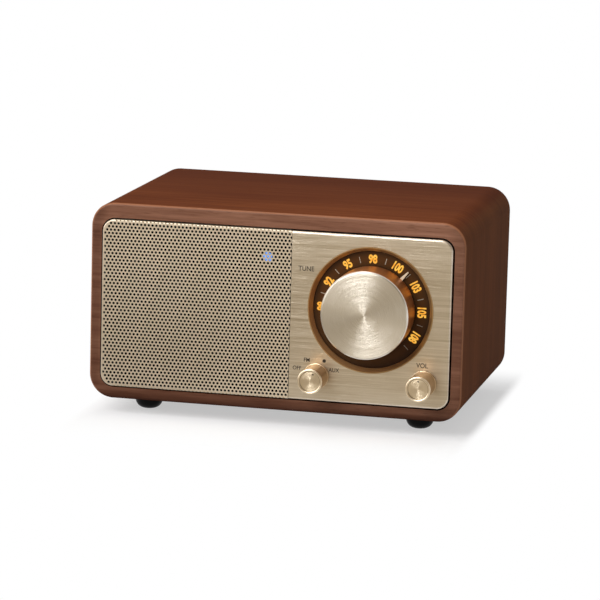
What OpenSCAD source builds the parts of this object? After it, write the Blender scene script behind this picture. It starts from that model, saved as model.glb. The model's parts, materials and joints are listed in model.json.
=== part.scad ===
/* [Cabinet] */
// Width of the wooden cabinet
cab_w = 150; // [140:0.5:185]
// Height of the wooden cabinet without its feet
cab_h = 78.4; // [77.4:0.1:96]
// Depth of the wooden cabinet
cab_d = 101.8; // [84:0.1:130]
// Radius of the four long corners
cab_r = 9.5; // [8:0.1:12]
// Thickness of the two side walls
side_wall = 4.35; // [4:0.05:5]
// Thickness of the top wall
top_wall = 5.9; // [5:0.05:6.4]
// Thickness of the bottom wall
bottom_wall = 4.65; // [4.4:0.05:5.2]
// Corner radius of the opening through the cabinet
opening_r = 5.4; // [5:0.1:6]
// Rounding of the front and rear edges
edge_round = 1.2; // [0.6:0.1:2]

/* [Fascia] */
// Gap between the fascia and the wood all round
fascia_gap = 0.55; // [0.4:0.05:0.8]
// How far the metal stands in front of the wood
fascia_proud = 1; // [0.6:0.1:1.6]
// Width of the brushed control panel
panel_w = 63.7; // [60:0.1:68]
// Thickness of the control panel
panel_t = 1.6; // [1.4:0.1:2]
// Rounding of the panel's front edge
panel_round = 0.9; // [0.4:0.1:1.2]
// Seam between the grille and the panel
seam = 0.2; // [0.1:0.05:0.4]

/* [Grille] */
// Distance between neighbouring holes
hole_pitch = 1.535; // [1.5:0.005:2.2]
// Diameter of a hole
hole_d = 1; // [0.6:0.05:1]
// Thickness of the perforated sheet
sheet_t = 0.4; // [0.3:0.05:0.5]
// Outside radius of the bent edge
bend_r = 0.5; // [0.5:0.05:0.8]
// Depth of the flange that wraps the chassis
flange_d = 3.5; // [2.5:0.1:5]
// Thickness of the cloth behind the sheet
cloth_t = 0.25; // [0.2:0.05:0.5]

/* [Dial] */
// Outer radius of the dial bezel
dial_r = 24.9; // [21:0.1:26]
// Width of the sloping bezel
bezel_w = 1.7; // [1.2:0.1:2.2]
// Depth of the dial plate behind the panel face
dial_depth = 2.35; // [2:0.05:2.6]
// Height of the dial centre above the middle of the fascia
dial_up = 3.95; // [3:0.05:5]
// Thickness of the dial plate
dial_t = 1; // [0.8:0.1:1.4]

/* [Knobs] */
// Radius of the tuning knob
tune_r = 17.1; // [14:0.05:18]
// How far the tuning knob's face stands in front of the wood
tune_out = 12; // [10:0.1:14]
// Length of the pointer beyond the knob
needle_len = 4.2; // [2:0.1:4.8]
// Radius of the two small knobs
knob_r = 5; // [4.4:0.05:5.6]
// How far the small knobs stand in front of the wood
knob_out = 13; // [10:0.1:15]
// Distance between the two small knobs
knob_span = 42.7; // [40:0.1:44]
// How far to the right of the dial the pair of small knobs is centred
knob_shift = 0.6; // [0:0.1:0.8]
// Height of the small knobs above the fascia's lower edge
knob_up = 10; // [8:0.1:11]
// Diameter of the tuning shaft
tune_shaft_d = 6; // [5:0.5:6.5]
// Diameter of the small shafts
knob_shaft_d = 4; // [3:0.5:5]
// Radial clearance of a shaft in its bore
shaft_fit = 0.05; // [0.03:0.01:0.1]

/* [Speaker] */
// Radius of the speaker's frame
speaker_r = 29.5; // [26:0.1:29.8]
// Depth of the speaker behind the chassis
speaker_d = 28; // [25:0.5:32]
// Outer radius of the cone
cone_r = 22.8; // [20:0.1:22.8]
// Radius of the magnet
magnet_r = 20; // [17:0.5:22]

/* [Feet] */
// Radius of a foot where it meets the wood
foot_r = 5.5; // [4.6:0.1:6.4]
// Height of a foot
foot_h = 6.9; // [4:0.1:8.5]
// Rounding between the foot's side and the flat that stands on the table
foot_round = 3.8; // [2:0.1:4]
// Distance of the feet from the cabinet's sides
foot_in_x = 19.6; // [14:0.1:24]
// Distance of the feet from the front and the back
foot_in_y = 19.4; // [14:0.1:24]

/* [Rear] */
// Thickness of the rear cover
cover_t = 2.5; // [2:0.1:3]
// Gap between the rear cover and the wood
cover_gap = 0.4; // [0.3:0.05:0.8]
// How far the rear cover is set into the cabinet
cover_in = 1.5; // [1.2:0.1:3]
// Bore of the headphone-size audio socket
jack_bore = 3.6; // [3.5:0.05:3.7]
// Width of the charging inlet's opening
usb_w = 8.4; // [8:0.1:9]
// Height of the charging inlet's opening
usb_h = 2.6; // [2.4:0.1:2.8]

/* [Positions at rest] */
// Angle of the pointer, clockwise from the top
pointer_rest = 42; // [30:1:60]
// Angle of the selector's mark, clockwise from the top
selector_rest = 22.5; // [22.5:0.5:23]

/* [Hidden] */
$fn = 96;

// The parts are drawn lying on their back: x to the right, y up, z towards the front,
// with the origin in the middle of the cabinet's front face.
total_d = cab_d + max(knob_out, tune_out);
front_y = max(knob_out, tune_out) - total_d / 2;
mid_z = foot_h + cab_h / 2;

opening_w = cab_w - 2 * side_wall;
opening_h = cab_h - top_wall - bottom_wall;
mid_y = (bottom_wall - top_wall) / 2;
floor_y = mid_y - opening_h / 2;
ceiling_y = mid_y + opening_h / 2;
wall_x = opening_w / 2;
opening_clear = 1;

fascia_w = opening_w - 2 * fascia_gap;
fascia_h = opening_h - 2 * fascia_gap;
fascia_r = opening_r - fascia_gap;
left_x = -fascia_w / 2;
right_x = fascia_w / 2;
top_y = mid_y + fascia_h / 2;
low_y = mid_y - fascia_h / 2;
split_x = right_x - panel_w;
face_z = fascia_proud;
panel_back = face_z - panel_t;

// perforation
hole_r = hole_d / 2;
row_pitch = 2 * round(hole_pitch * sqrt(3) / 4 * 1000) / 1000;
row_margin = bend_r + hole_r + 0.3;
row_count = floor((fascia_h - 2 * row_margin) / row_pitch) + 1;
first_row_y = round((mid_y + (row_count - 1) * row_pitch / 2) * 1000) / 1000;
hole_margin = 0.1;
first_hole_x = left_x + bend_r + hole_r + hole_margin;
grille_right = split_x - seam / 2;
hole_count = floor((grille_right + hole_r - 0.1 - first_hole_x) / hole_pitch) + 1;
rim_lap = 0.06;
// the rows sit in turn this much above and below the mean plane of the sheet
row_step = 0.004;
sheet_back = face_z - sheet_t;
cloth_back = sheet_back - row_step - cloth_t;

// moulded chassis
wrap_gap = 0.1;
chassis_inset = sheet_t + wrap_gap;
chassis_w = fascia_w - 2 * chassis_inset;
chassis_h = fascia_h - 2 * chassis_inset;
chassis_r = fascia_r - chassis_inset;
chassis_t = 2.5;
chassis_back = panel_back - chassis_t;
skirt_t = 1.6;
skirt_d = 6;
rib_t = 1.2;
boss_r = 3.5;
boss_in = 6;
block_front = -14;
block_len = 10;
block_w = 10;
post_r = 3;

// dial stack, front to back
dial_x = split_x + panel_w / 2;
dial_y = mid_y + dial_up;
dial_inner_r = dial_r - bezel_w;
lip_w = 0.35;
lip_up = 0.15;
dial_z = face_z - dial_depth;
dial_back = dial_z - dial_t;
bore_gap = 0.06;
guide_t = 2.2;
guide_back = dial_back - guide_t;
guide_in_r = 12;
led_gap = 0.05;
led_h = 0.7;
led_board_front = guide_back - led_gap - led_h;
led_board_t = 1.2;
well_floor = led_board_front - led_board_t;
well_floor_t = 2;
well_back = well_floor - well_floor_t;
well_r = dial_r - 1.3;
well_wall = 1.7;
dial_seat_gap = 0.3;

// controls behind the panel
pot_depth = 8;
board_front = well_back - pot_depth;
board_t = 1.6;
board_back = board_front - board_t;
tune_bush_r = tune_shaft_d / 2 + 1.5;
knob_bush_r = knob_shaft_d / 2 + 1.5;
bush_gap = 0.1;
tune_nut_t = 2;
knob_nut_t = 1.5;
nut_gap = 0.05;
pocket_d = 2;
pocket_r = knob_bush_r + 2.8;
pocket_wall = 1.85;
pocket_floor = panel_back - pocket_d;
pocket_floor_t = 2.5;
pocket_back = pocket_floor - pocket_floor_t;
shaft_hole_r = knob_shaft_d / 2 + 1.2;
selector_x = dial_x + knob_shift - knob_span / 2;
volume_x = dial_x + knob_shift + knob_span / 2;
knob_y = low_y + knob_up;

// knobs
needle_t = 0.4;
needle_front = dial_z + 1.05;
needle_back = needle_front - needle_t;
shell_t = 1;
shell_top = 1.2;
tune_chamfer = 0.6;
hub_gap = 0.2;
hub_boss_r = tune_shaft_d / 2 + 3;
hub_top_t = 2.2;
flat_share = 0.5;
knob_back = face_z + 0.4;
collar_h = 0.9;
collar_over = 0.15;
groove_h = 0.35;
groove_in = 0.25;
rim_w = 0.6;
recess_d = 0.45;
rim_chamfer = 0.2;
dot_r = 0.32;
dot_deep = 0.2;
dot_at = 3;
knob_cap = 1.6;

// screws
screw_gap = 0.1;
m3 = 3;
m25 = 2.5;

// speaker
speaker_x = (left_x + grille_right) / 2;
ear_r = 3.6;
ear_at = speaker_r + 2.5;
gasket_t = 0.8;
gasket_w = 1.4;
frame_front = chassis_back - gasket_t;
frame_t = 1;
surround_t = 0.4;
roll_r = (speaker_r - gasket_w - 1.4 - cone_r) / 2;
roll_mid = cone_r + roll_r;
speaker_hole_r = cone_r + 2 * roll_r + 0.3;
speaker_back = chassis_back - speaker_d;
coil_r = 7.7;
coil_in_r = 7.3;
cone_t = 0.5;
basket_foot_r = 17;
top_plate_t = 3;
back_plate_t = 3;
magnet_t = 8;
magnet_in_r = 11;
basket_foot = speaker_back + back_plate_t + magnet_t + top_plate_t;
basket_foot_t = 1;
spider_z = basket_foot + basket_foot_t + 3.2;

// status lamp
lamp_x = grille_right - 9.7;
lamp_y = mid_y + 22.3;
pipe_r = 1.9;
pipe_gap = 0.05;
pipe_back = chassis_back - 2.2;
lamp_led_t = 0.9;
lamp_board_t = 1;

// inside the cabinet
speaker_space = 6;
cell_d = 18.4;
cell_l = 65;
cradle_t = 1.5;
cradle_wall = 1.6;
cradle_gap = 0.3;
pack_x = -wall_x + opening_r + 0.3 + cradle_wall + cradle_gap + cell_l / 2;
pack_z = speaker_back - speaker_space - 8 - cell_d;
pack_y = floor_y + cradle_t + cell_d / 2;
strap_t = 0.6;
strap_w = 10;
rear_block_w = 11;
rear_block_l = 12;
main_w = 54;
main_x = wall_x - rear_block_w - 1.2 - main_w / 2;
main_y = floor_y + 6;
cover_out_z = -(cab_d - cover_in);
cover_in_z = cover_out_z + cover_t;
main_back = cover_in_z + 2.2;
main_l = min(52, main_back * -1 + speaker_back - 2);
main_front = main_back + main_l;
standoff_r = 2.5;
cover_w = opening_w - 2 * cover_gap;
cover_h = opening_h - 2 * cover_gap;
cover_r = opening_r - cover_gap;
cover_hole_in = 6.2;
jack_x = main_x - 14;
jack_w = 7;
jack_h = 6.4;
jack_l = 13.5;
jack_nose_r = 3;
jack_y = main_y + board_t + jack_h / 2;
usb_x = main_x + 2;
usb_shell = 0.3;
usb_y = main_y + board_t + usb_h / 2 + usb_shell;
socket_gap = 0.3;

module in_place() {
  translate([0, front_y, mid_z]) rotate([90, 0, 0]) children();
}

// A rounded rectangle, centred
module rounded(w, h, r) {
  square([w - 2 * r, h], center = true);
  square([w, h - 2 * r], center = true);
  for (x = [r - w / 2, w / 2 - r], y = [r - h / 2, h / 2 - r]) translate([x, y]) circle(r = r);
}

// Carries a profile round a rounded rectangle. The profile's x runs outwards from the
// corner centres, and its y is the height.
module loop_sweep(w, h, r) {
  for (q = [[w, h, 0], [h, w, 90], [w, h, 180], [h, w, 270]]) {
    rotate([0, 0, q[2]]) translate([q[0] / 2 - r, q[1] / 2 - r, 0]) {
      rotate_extrude(angle = 90) children();
      rotate([90, 0, 0]) linear_extrude(q[1] - 2 * r) children();
    }
  }
}

// Rounds off the outer upper corner of a profile that reaches out to r and up to t
module round_corner(r, t, e) {
  difference() {
    children();
    translate([r - e, t - e]) difference() {
      square([e + 1, e + 1]);
      circle(r = e);
    }
  }
}

// A rounded plate whose upper edge is rounded by e
module soft_plate(w, h, r, t, e) {
  translate([r - w / 2, r - h / 2, 0]) cube([w - 2 * r, h - 2 * r, t]);
  loop_sweep(w, h, r) round_corner(r, t, e) square([r, t]);
}

module tube(r_out, r_in, h) {
  difference() {
    cylinder(r = r_out, h = h);
    translate([0, 0, -1]) cylinder(r = r_in, h = h + 2);
  }
}

// Section of a shaft with one flat, for a shaft that is grown by grow all round
module d_section(d, grow) {
  r = d / 2 + grow;
  intersection() {
    circle(r = r);
    translate([-r, -r]) square([2 * r, r + d / 2 * flat_share + grow]);
  }
}

// A pan-head screw that points towards +z, with its head below z = 0
module screw(d, len) {
  cylinder(d = d, h = len);
  difference() {
    translate([0, 0, -0.6 * d]) cylinder(r1 = 0.82 * d, r2 = 0.95 * d, h = 0.6 * d);
    for (a = [0, 90]) rotate([0, 0, a]) translate([-0.55 * d, -0.1 * d, -0.6 * d - 1])
      cube([1.1 * d, 0.2 * d, 1 + 0.3 * d]);
  }
}

module hex_nut(flats, bore_r, t) {
  difference() {
    cylinder(r = flats / sqrt(3), h = t, $fn = 6);
    translate([0, 0, -1]) cylinder(r = bore_r, h = t + 2);
  }
}

// ---- wood ----

foot_spots = [for (x = [-1, 1], z = [-foot_in_y, foot_in_y - cab_d]) [x * (cab_w / 2 - foot_in_x), z]];
stud_r = 1.5;
stud_len = 3.6;

module cabinet() {
  color([0.42, 0.24, 0.17]) in_place() difference() {
    translate([0, 0, -cab_d / 2]) for (s = [0, 1]) mirror([0, 0, s])
      soft_plate(cab_w, cab_h, cab_r, cab_d / 2, edge_round);
    translate([0, mid_y, -cab_d - opening_clear]) linear_extrude(cab_d + 2 * opening_clear)
      rounded(opening_w, opening_h, opening_r);
    for (p = foot_spots) translate([p[0], -cab_h / 2 - 1, p[1]]) rotate([-90, 0, 0])
      cylinder(r = stud_r + screw_gap, h = stud_len + 1.2);
  }
}

chassis_spots = [
  [left_x + boss_in, top_y - boss_in], [right_x - boss_in, top_y - boss_in],
  [left_x + boss_in, low_y + boss_in], [split_x - 1.9, low_y + boss_in]
];
cover_spots = [
  for (x = [-1, 1], y = [-1, 1])
    [x * (cover_w / 2 - cover_hole_in), mid_y + y * (cover_h / 2 - cover_hole_in)]
];

// One front block, glued between a boss and the nearest wall
module front_block(p) {
  up = p[1] > mid_y;
  edge = up ? ceiling_y : floor_y;
  side = p[0] < left_x + 2 * boss_in ? -wall_x : (p[0] > right_x - 2 * boss_in ? wall_x : 0);
  x0 = side < 0 ? side : p[0] - block_w / 2;
  x1 = side > 0 ? side : p[0] + block_w / 2;
  y0 = up ? p[1] - block_w / 2 : edge;
  y1 = up ? edge : p[1] + block_w / 2;
  difference() {
    intersection() {
      translate([x0, y0, block_front - block_len]) cube([x1 - x0, y1 - y0, block_len]);
      translate([0, mid_y, block_front - block_len]) linear_extrude(block_len)
        rounded(opening_w, opening_h, opening_r);
    }
    translate([p[0], p[1], block_front - block_len - 1])
      cylinder(d = m3 + 4 * screw_gap, h = block_len + 2);
  }
}

module rear_block(p) {
  sx = sign(p[0]);
  sy = sign(p[1] - mid_y);
  difference() {
    intersection() {
      translate([sx * (wall_x - rear_block_w / 2), mid_y + sy * (opening_h / 2 - rear_block_w / 2),
        cover_in_z + rear_block_l / 2]) cube([rear_block_w, rear_block_w, rear_block_l], center = true);
      translate([0, mid_y, cover_in_z]) linear_extrude(rear_block_l)
        rounded(opening_w, opening_h, opening_r);
    }
    translate([p[0], p[1], cover_in_z - 1]) cylinder(d = m3 + 2 * screw_gap, h = rear_block_l);
  }
}

module corner_blocks() {
  color([0.78, 0.62, 0.42]) in_place() {
    for (p = chassis_spots) front_block(p);
    for (p = cover_spots) rear_block(p);
  }
}

// ---- feet ----

stud_in = 3;

module foot(p) {
  translate([p[0], -cab_h / 2, p[1]]) rotate([90, 0, 0]) difference() {
    rotate_extrude() round_corner(foot_r, foot_h, foot_round) square([foot_r, foot_h]);
    translate([0, 0, -1]) cylinder(r = stud_r + screw_gap, h = stud_in + 1.2);
  }
}

module foot_rear_left() { color([0.05, 0.05, 0.05]) in_place() foot(foot_spots[1]); }
module foot_front_left() { color([0.05, 0.05, 0.05]) in_place() foot(foot_spots[0]); }
module foot_rear_right() { color([0.05, 0.05, 0.05]) in_place() foot(foot_spots[3]); }
module foot_front_right() { color([0.05, 0.05, 0.05]) in_place() foot(foot_spots[2]); }

module foot_studs() {
  color("silver") in_place() for (p = foot_spots) translate([p[0], -cab_h / 2 - stud_in, p[1]])
    rotate([-90, 0, 0]) cylinder(r = stud_r, h = stud_in + stud_len);
}

// ---- fascia: perforated sheet, cloth and brushed panel ----

flat_w = fascia_w - 2 * bend_r;
flat_h = fascia_h - 2 * bend_r;
flat_r = fascia_r - bend_r;

module flat_outline() {
  intersection() {
    translate([0, mid_y]) rounded(flat_w, flat_h, flat_r);
    translate([left_x, low_y]) square([grille_right - left_x, fascia_h]);
  }
}

// True where a whole hole at x, y stays clear of the rounded corners
function hole_fits(x, y) =
  let (dx = left_x + fascia_r - x, dy = abs(y - mid_y) - (fascia_h / 2 - fascia_r))
  dx <= 0 || dy <= 0 || norm([dx, dy]) <= flat_r - hole_r - hole_margin;

module grille_row(y, shift) {
  in_corner = abs(y - mid_y) + row_pitch / 2 > flat_h / 2 - flat_r;
  difference() {
    if (in_corner) intersection() {
      flat_outline();
      translate([left_x, y - row_pitch / 2]) square([fascia_w, row_pitch]);
    } else translate([left_x + bend_r, y - row_pitch / 2])
      square([grille_right - left_x - bend_r, row_pitch]);
    for (i = [0:hole_count - 1 - 2 * shift]) {
      x = first_hole_x + (i + shift) * hole_pitch;
      if (hole_fits(x, y)) translate([x, y]) circle(r = hole_r, $fn = 24);
    }
  }
}

// The plain strips above the first row and below the last one
module grille_margin(up) {
  y = up > 0 ? first_row_y + row_pitch / 2
    : first_row_y - (row_count - 0.5) * row_pitch - (flat_h / 2 + fascia_h);
  intersection() {
    flat_outline();
    translate([left_x, y]) square([fascia_w, flat_h / 2 + fascia_h]);
  }
}

// The perforation runs on round the bend, so its holes open the upper and lower edges
bend_hole_r = 0.8 * hole_r;

module bend_holes(up, shift) {
  first = floor((left_x + fascia_r + hole_r - first_hole_x) / hole_pitch) + 1;
  for (i = [first:hole_count - 2]) {
    translate([first_hole_x + (i + shift) * hole_pitch, mid_y + up * (fascia_h / 2 - bend_r), face_z - bend_r])
      rotate([-45 * up, 0, 0]) cylinder(r = bend_hole_r, h = 2 * bend_r, $fn = 24);
  }
}

module speaker_grille() {
  color([0.86, 0.8, 0.7]) in_place() {
    for (j = [0:row_count - 1]) translate([0, 0, sheet_back + (j % 2 == 0 ? row_step : -row_step)])
      linear_extrude(sheet_t) grille_row(first_row_y - j * row_pitch, j % 2 == 0 ? 0.5 : 0);
    for (up = [-1, 1]) translate([0, 0, sheet_back]) linear_extrude(sheet_t) grille_margin(up);
    difference() {
      intersection() {
        translate([0, mid_y, face_z - flange_d]) loop_sweep(fascia_w, fascia_h, fascia_r)
          round_corner(fascia_r, flange_d, bend_r) difference() {
            translate([flat_r - rim_lap, 0]) square([bend_r + rim_lap, flange_d]);
            translate([0, -1]) square([fascia_r - sheet_t, flange_d - sheet_t + 1]);
          }
        translate([left_x - 1, low_y - 1, face_z - flange_d - 1])
          cube([grille_right - left_x + 1, fascia_h + 2, flange_d + 2]);
      }
      bend_holes(1, 0);
      bend_holes(-1, row_count % 2 == 0 ? 0.5 : 0);
    }
  }
}

cloth_in = chassis_inset + 0.8;

module grille_cloth() {
  color([0.08, 0.08, 0.08]) in_place() translate([0, 0, cloth_back]) linear_extrude(cloth_t)
    difference() {
      intersection() {
        translate([0, mid_y]) rounded(fascia_w - 2 * cloth_in, fascia_h - 2 * cloth_in, fascia_r - cloth_in);
        translate([left_x, low_y]) square([grille_right - left_x - 1, fascia_h]);
      }
      translate([lamp_x, lamp_y]) circle(r = pipe_r + 0.3);
    }
}

module control_panel() {
  color([0.74, 0.68, 0.57]) in_place() difference() {
    intersection() {
      translate([0, mid_y, panel_back]) soft_plate(fascia_w, fascia_h, fascia_r, panel_t, panel_round);
      translate([split_x + seam / 2, low_y - 1, panel_back - 1]) cube([panel_w + 1, fascia_h + 2, panel_t + 2]);
    }
    translate([dial_x, dial_y, panel_back - 1]) cylinder(r = dial_r + bore_gap, h = panel_t + 2);
    for (x = [selector_x, volume_x]) translate([x, knob_y, panel_back - 1])
      cylinder(r = shaft_hole_r, h = panel_t + 2);
  }
}

// ---- dial ----

module at_dial() { translate([dial_x, dial_y, 0]) children(); }

module dial_bezel() {
  color([0.56, 0.42, 0.27]) in_place() at_dial() rotate_extrude() polygon([
    [dial_inner_r, dial_z], [dial_r, dial_z], [dial_r, face_z + lip_up],
    [dial_r - lip_w, face_z + lip_up], [dial_inner_r, dial_z + 0.6]
  ]);
}

module dial_plate() {
  color([0.2, 0.13, 0.08]) in_place() at_dial() translate([0, 0, dial_back])
    tube(dial_r - dial_seat_gap, tune_bush_r + 3, dial_t);
}

module dial_light_guide() {
  color([0.95, 0.75, 0.4]) in_place() at_dial() translate([0, 0, guide_back])
    tube(well_r - dial_seat_gap, guide_in_r, guide_t);
}

led_count = 8;

module dial_leds() {
  color([1, 0.8, 0.4]) in_place() at_dial() for (i = [0:led_count - 1])
    rotate([0, 0, (i + 0.5) * 360 / led_count]) translate([0, 18, led_board_front + led_h / 2])
      cube([3.2, 1.6, led_h], center = true);
}

module dial_light_board() {
  color([0.1, 0.35, 0.2]) in_place() at_dial() translate([0, 0, well_floor])
    tube(well_r - dial_seat_gap, guide_in_r - 1, led_board_t);
}

// ---- moulded chassis behind the fascia ----

board_x0 = split_x + 3.7;
board_x1 = wall_x - 3.1;
board_y0 = floor_y + 3;
board_y1 = dial_y + 17.2;
post_spots = [[board_x0 + 3, board_y1 - 3.5], [board_x1 - 4, board_y1 - 3.5], [dial_x, board_y0 + 3.2]];
pipe_post_spots = [[lamp_x - 0.2, lamp_y + 4.2], [lamp_x + 6.4, lamp_y]];
pipe_post_r = 1.6;

module at_ears() {
  translate([speaker_x, mid_y, 0]) for (a = [45:90:315]) rotate([0, 0, a]) translate([ear_at, 0, 0]) children();
}

module chassis_solid() {
  translate([0, mid_y, chassis_back]) linear_extrude(chassis_t) rounded(chassis_w, chassis_h, chassis_r);
  translate([0, 0, panel_back]) linear_extrude(cloth_back - panel_back) intersection() {
    translate([0, mid_y]) rounded(chassis_w, chassis_h, chassis_r);
    translate([left_x, low_y]) square([grille_right - left_x - 0.5, fascia_h]);
  }
  // skirt and ribs
  translate([0, mid_y, chassis_back - skirt_d]) linear_extrude(skirt_d) difference() {
    rounded(chassis_w, chassis_h, chassis_r);
    rounded(chassis_w - 2 * skirt_t, chassis_h - 2 * skirt_t, chassis_r - skirt_t);
  }
  translate([split_x - rib_t / 2, low_y + 1, chassis_back - skirt_d]) cube([rib_t, fascia_h - 2, skirt_d]);
  for (y = [dial_y - 9, dial_y + 9]) translate([split_x, y, chassis_back - 3])
    cube([dial_x - split_x, rib_t, 3]);
  for (y = [dial_y - 6, dial_y + 9]) translate([dial_x, y, chassis_back - 3])
    cube([right_x - dial_x - 1, rib_t, 3]);
  // dial well
  at_dial() translate([0, 0, well_back]) cylinder(r = well_r + well_wall, h = chassis_back - well_back);
  // seats of the two small controls
  for (x = [selector_x, volume_x]) translate([x, knob_y, pocket_back])
    cylinder(r = pocket_r + pocket_wall, h = chassis_back - pocket_back);
  // bosses, posts and pads
  for (p = chassis_spots) translate([p[0], p[1], block_front]) cylinder(r = boss_r, h = chassis_back - block_front);
  for (p = post_spots) translate([p[0], p[1], board_front]) cylinder(r = post_r, h = chassis_back - board_front);
  for (p = pipe_post_spots) translate([p[0], p[1], pipe_back - lamp_led_t])
    cylinder(r = pipe_post_r, h = chassis_back - pipe_back + lamp_led_t);
  at_ears() translate([0, 0, frame_front]) linear_extrude(gasket_t + 0.5) difference() {
    circle(r = ear_r);
    translate([-ear_at, 0]) circle(r = speaker_r + 0.3);
  }
}

module front_chassis() {
  color([0.12, 0.12, 0.12]) in_place() difference() {
    chassis_solid();
    // speaker opening with a flared front edge
    translate([speaker_x, mid_y, chassis_back - 1]) cylinder(r = speaker_hole_r, h = chassis_t + 4);
    translate([speaker_x, mid_y, cloth_back - 1.2])
      cylinder(r1 = speaker_hole_r - 0.01, r2 = speaker_hole_r + 1.19, h = 1.2);
    // dial well
    at_dial() {
      translate([0, 0, dial_back]) cylinder(r = dial_r + bore_gap, h = 10);
      translate([0, 0, well_floor]) cylinder(r = well_r, h = 20);
      translate([0, 0, well_back - 1]) cylinder(r = tune_bush_r + bush_gap, h = 20);
    }
    for (x = [selector_x, volume_x]) translate([x, knob_y, 0]) {
      translate([0, 0, pocket_floor]) cylinder(r = pocket_r, h = 10);
      translate([0, 0, pocket_back - 1]) cylinder(r = knob_bush_r + bush_gap, h = 20);
    }
    for (p = chassis_spots) translate([p[0], p[1], block_front - 1])
      cylinder(d = m3 + 2 * screw_gap, h = 10.4);
    for (p = post_spots) translate([p[0], p[1], board_front - 1]) cylinder(d = m25 + 2 * screw_gap, h = 9.4);
    at_ears() translate([0, 0, frame_front - 1]) cylinder(d = m3 + 2 * screw_gap, h = 4);
    translate([lamp_x, lamp_y, pipe_back - 1]) cylinder(r = pipe_r + bore_gap, h = 20);
  }
}

chassis_screw_len = block_len + 9;

module chassis_screws() {
  color("silver") in_place() for (p = chassis_spots) translate([p[0], p[1], block_front - block_len])
    screw(m3, chassis_screw_len);
}

// ---- tuning knob, pointer, shaft and potentiometer ----

module tuning_knob() {
  color([0.85, 0.8, 0.74]) in_place() at_dial() rotate_extrude() polygon([
    [0, tune_out], [tune_r - tune_chamfer, tune_out], [tune_r, tune_out - tune_chamfer],
    [tune_r, needle_front], [tune_r - shell_t, needle_front],
    [tune_r - shell_t, tune_out - shell_top], [0, tune_out - shell_top]
  ]);
}

module tuning_hub() {
  hub_r = tune_r - shell_t - hub_gap;
  top = tune_out - shell_top;
  color([0.15, 0.15, 0.15]) in_place() at_dial() rotate([0, 0, -pointer_rest]) difference() {
    union() {
      translate([0, 0, top - hub_top_t]) cylinder(r = hub_r, h = hub_top_t);
      translate([0, 0, needle_front]) cylinder(r = hub_boss_r, h = top - needle_front);
      translate([0, 0, needle_front]) tube(hub_r, hub_r - 1.4, top - needle_front);
      for (a = [0:60:300]) rotate([0, 0, a]) translate([-rib_t / 2, hub_boss_r - 1, needle_front])
        cube([rib_t, hub_r - hub_boss_r, top - needle_front]);
    }
    translate([0, 0, needle_back - 1]) linear_extrude(top - needle_back - hub_top_t + 2.2)
      d_section(tune_shaft_d, shaft_fit);
  }
}

module tuning_pointer() {
  tip_r = tune_r + needle_len;
  color([0.85, 0.75, 0.6]) in_place() at_dial() rotate([0, 0, -pointer_rest])
    translate([0, 0, needle_back]) linear_extrude(needle_t) {
      difference() {
        circle(r = tune_r);
        circle(r = tune_r - 4);
      }
      polygon([[-0.75, tune_r - 1], [0.75, tune_r - 1], [0.24, tip_r - 0.2], [0, tip_r], [-0.24, tip_r - 0.2]]);
    }
}

tune_shaft_end = tune_out - shell_top - hub_top_t + 0.8;
tune_shaft_back = board_front + 1.5;

module tuning_shaft() {
  color("silver") in_place() at_dial() rotate([0, 0, -pointer_rest]) {
    translate([0, 0, tune_shaft_back]) cylinder(d = tune_shaft_d, h = needle_back - tune_shaft_back);
    translate([0, 0, needle_back]) linear_extrude(tune_shaft_end - needle_back) d_section(tune_shaft_d, 0);
  }
}

module control_pot(w, bush_r, shaft_d, body_front, bush_front, shaft_back) {
  difference() {
    union() {
      translate([-w / 2, -w / 2, board_front]) cube([w, w, body_front - board_front]);
      translate([0, 0, body_front]) cylinder(r = bush_r, h = bush_front - body_front);
    }
    translate([0, 0, shaft_back - 0.3]) cylinder(r = shaft_d / 2 + shaft_fit, h = 40);
  }
}

module tuning_pot() {
  color([0.3, 0.3, 0.32]) in_place() at_dial()
    control_pot(17, tune_bush_r, tune_shaft_d, well_back, well_floor + tune_nut_t + 0.6, tune_shaft_back);
}

module tuning_nut() {
  color("silver") in_place() at_dial() translate([0, 0, well_floor])
    hex_nut(2 * tune_bush_r + 3, tune_bush_r + nut_gap, tune_nut_t);
}

// ---- the two small controls ----

knob_shaft_back = board_front + 3;
knob_shaft_end = knob_out - recess_d - knob_cap - 0.2;

module small_knob(x, mark) {
  translate([x, knob_y, 0]) rotate([0, 0, -mark]) difference() {
    rotate_extrude() polygon([
      [0, knob_back], [knob_r + collar_over, knob_back], [knob_r + collar_over, knob_back + collar_h],
      [knob_r - groove_in, knob_back + collar_h], [knob_r - groove_in, knob_back + collar_h + groove_h],
      [knob_r, knob_back + collar_h + groove_h], [knob_r, knob_out - rim_chamfer],
      [knob_r - rim_chamfer, knob_out], [knob_r - rim_w, knob_out],
      [knob_r - rim_w - 0.1, knob_out - recess_d], [0, knob_out - recess_d]
    ]);
    translate([0, 0, knob_back - 1]) linear_extrude(knob_shaft_end - knob_back + 1.2)
      d_section(knob_shaft_d, shaft_fit);
    translate([0, dot_at, knob_out - recess_d - dot_deep]) cylinder(r = dot_r, h = 1);
  }
}

module small_shaft(x, mark) {
  translate([x, knob_y, 0]) rotate([0, 0, -mark]) {
    translate([0, 0, knob_shaft_back]) cylinder(d = knob_shaft_d, h = face_z - knob_shaft_back);
    translate([0, 0, face_z]) linear_extrude(knob_shaft_end - face_z) d_section(knob_shaft_d, 0);
  }
}

module small_pot(x, w) {
  translate([x, knob_y, 0])
    control_pot(w, knob_bush_r, knob_shaft_d, pocket_back, panel_back - 0.3, knob_shaft_back);
}

module small_nut(x) {
  translate([x, knob_y, pocket_floor]) hex_nut(2 * knob_bush_r + 2.4, knob_bush_r + nut_gap, knob_nut_t);
}

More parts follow.
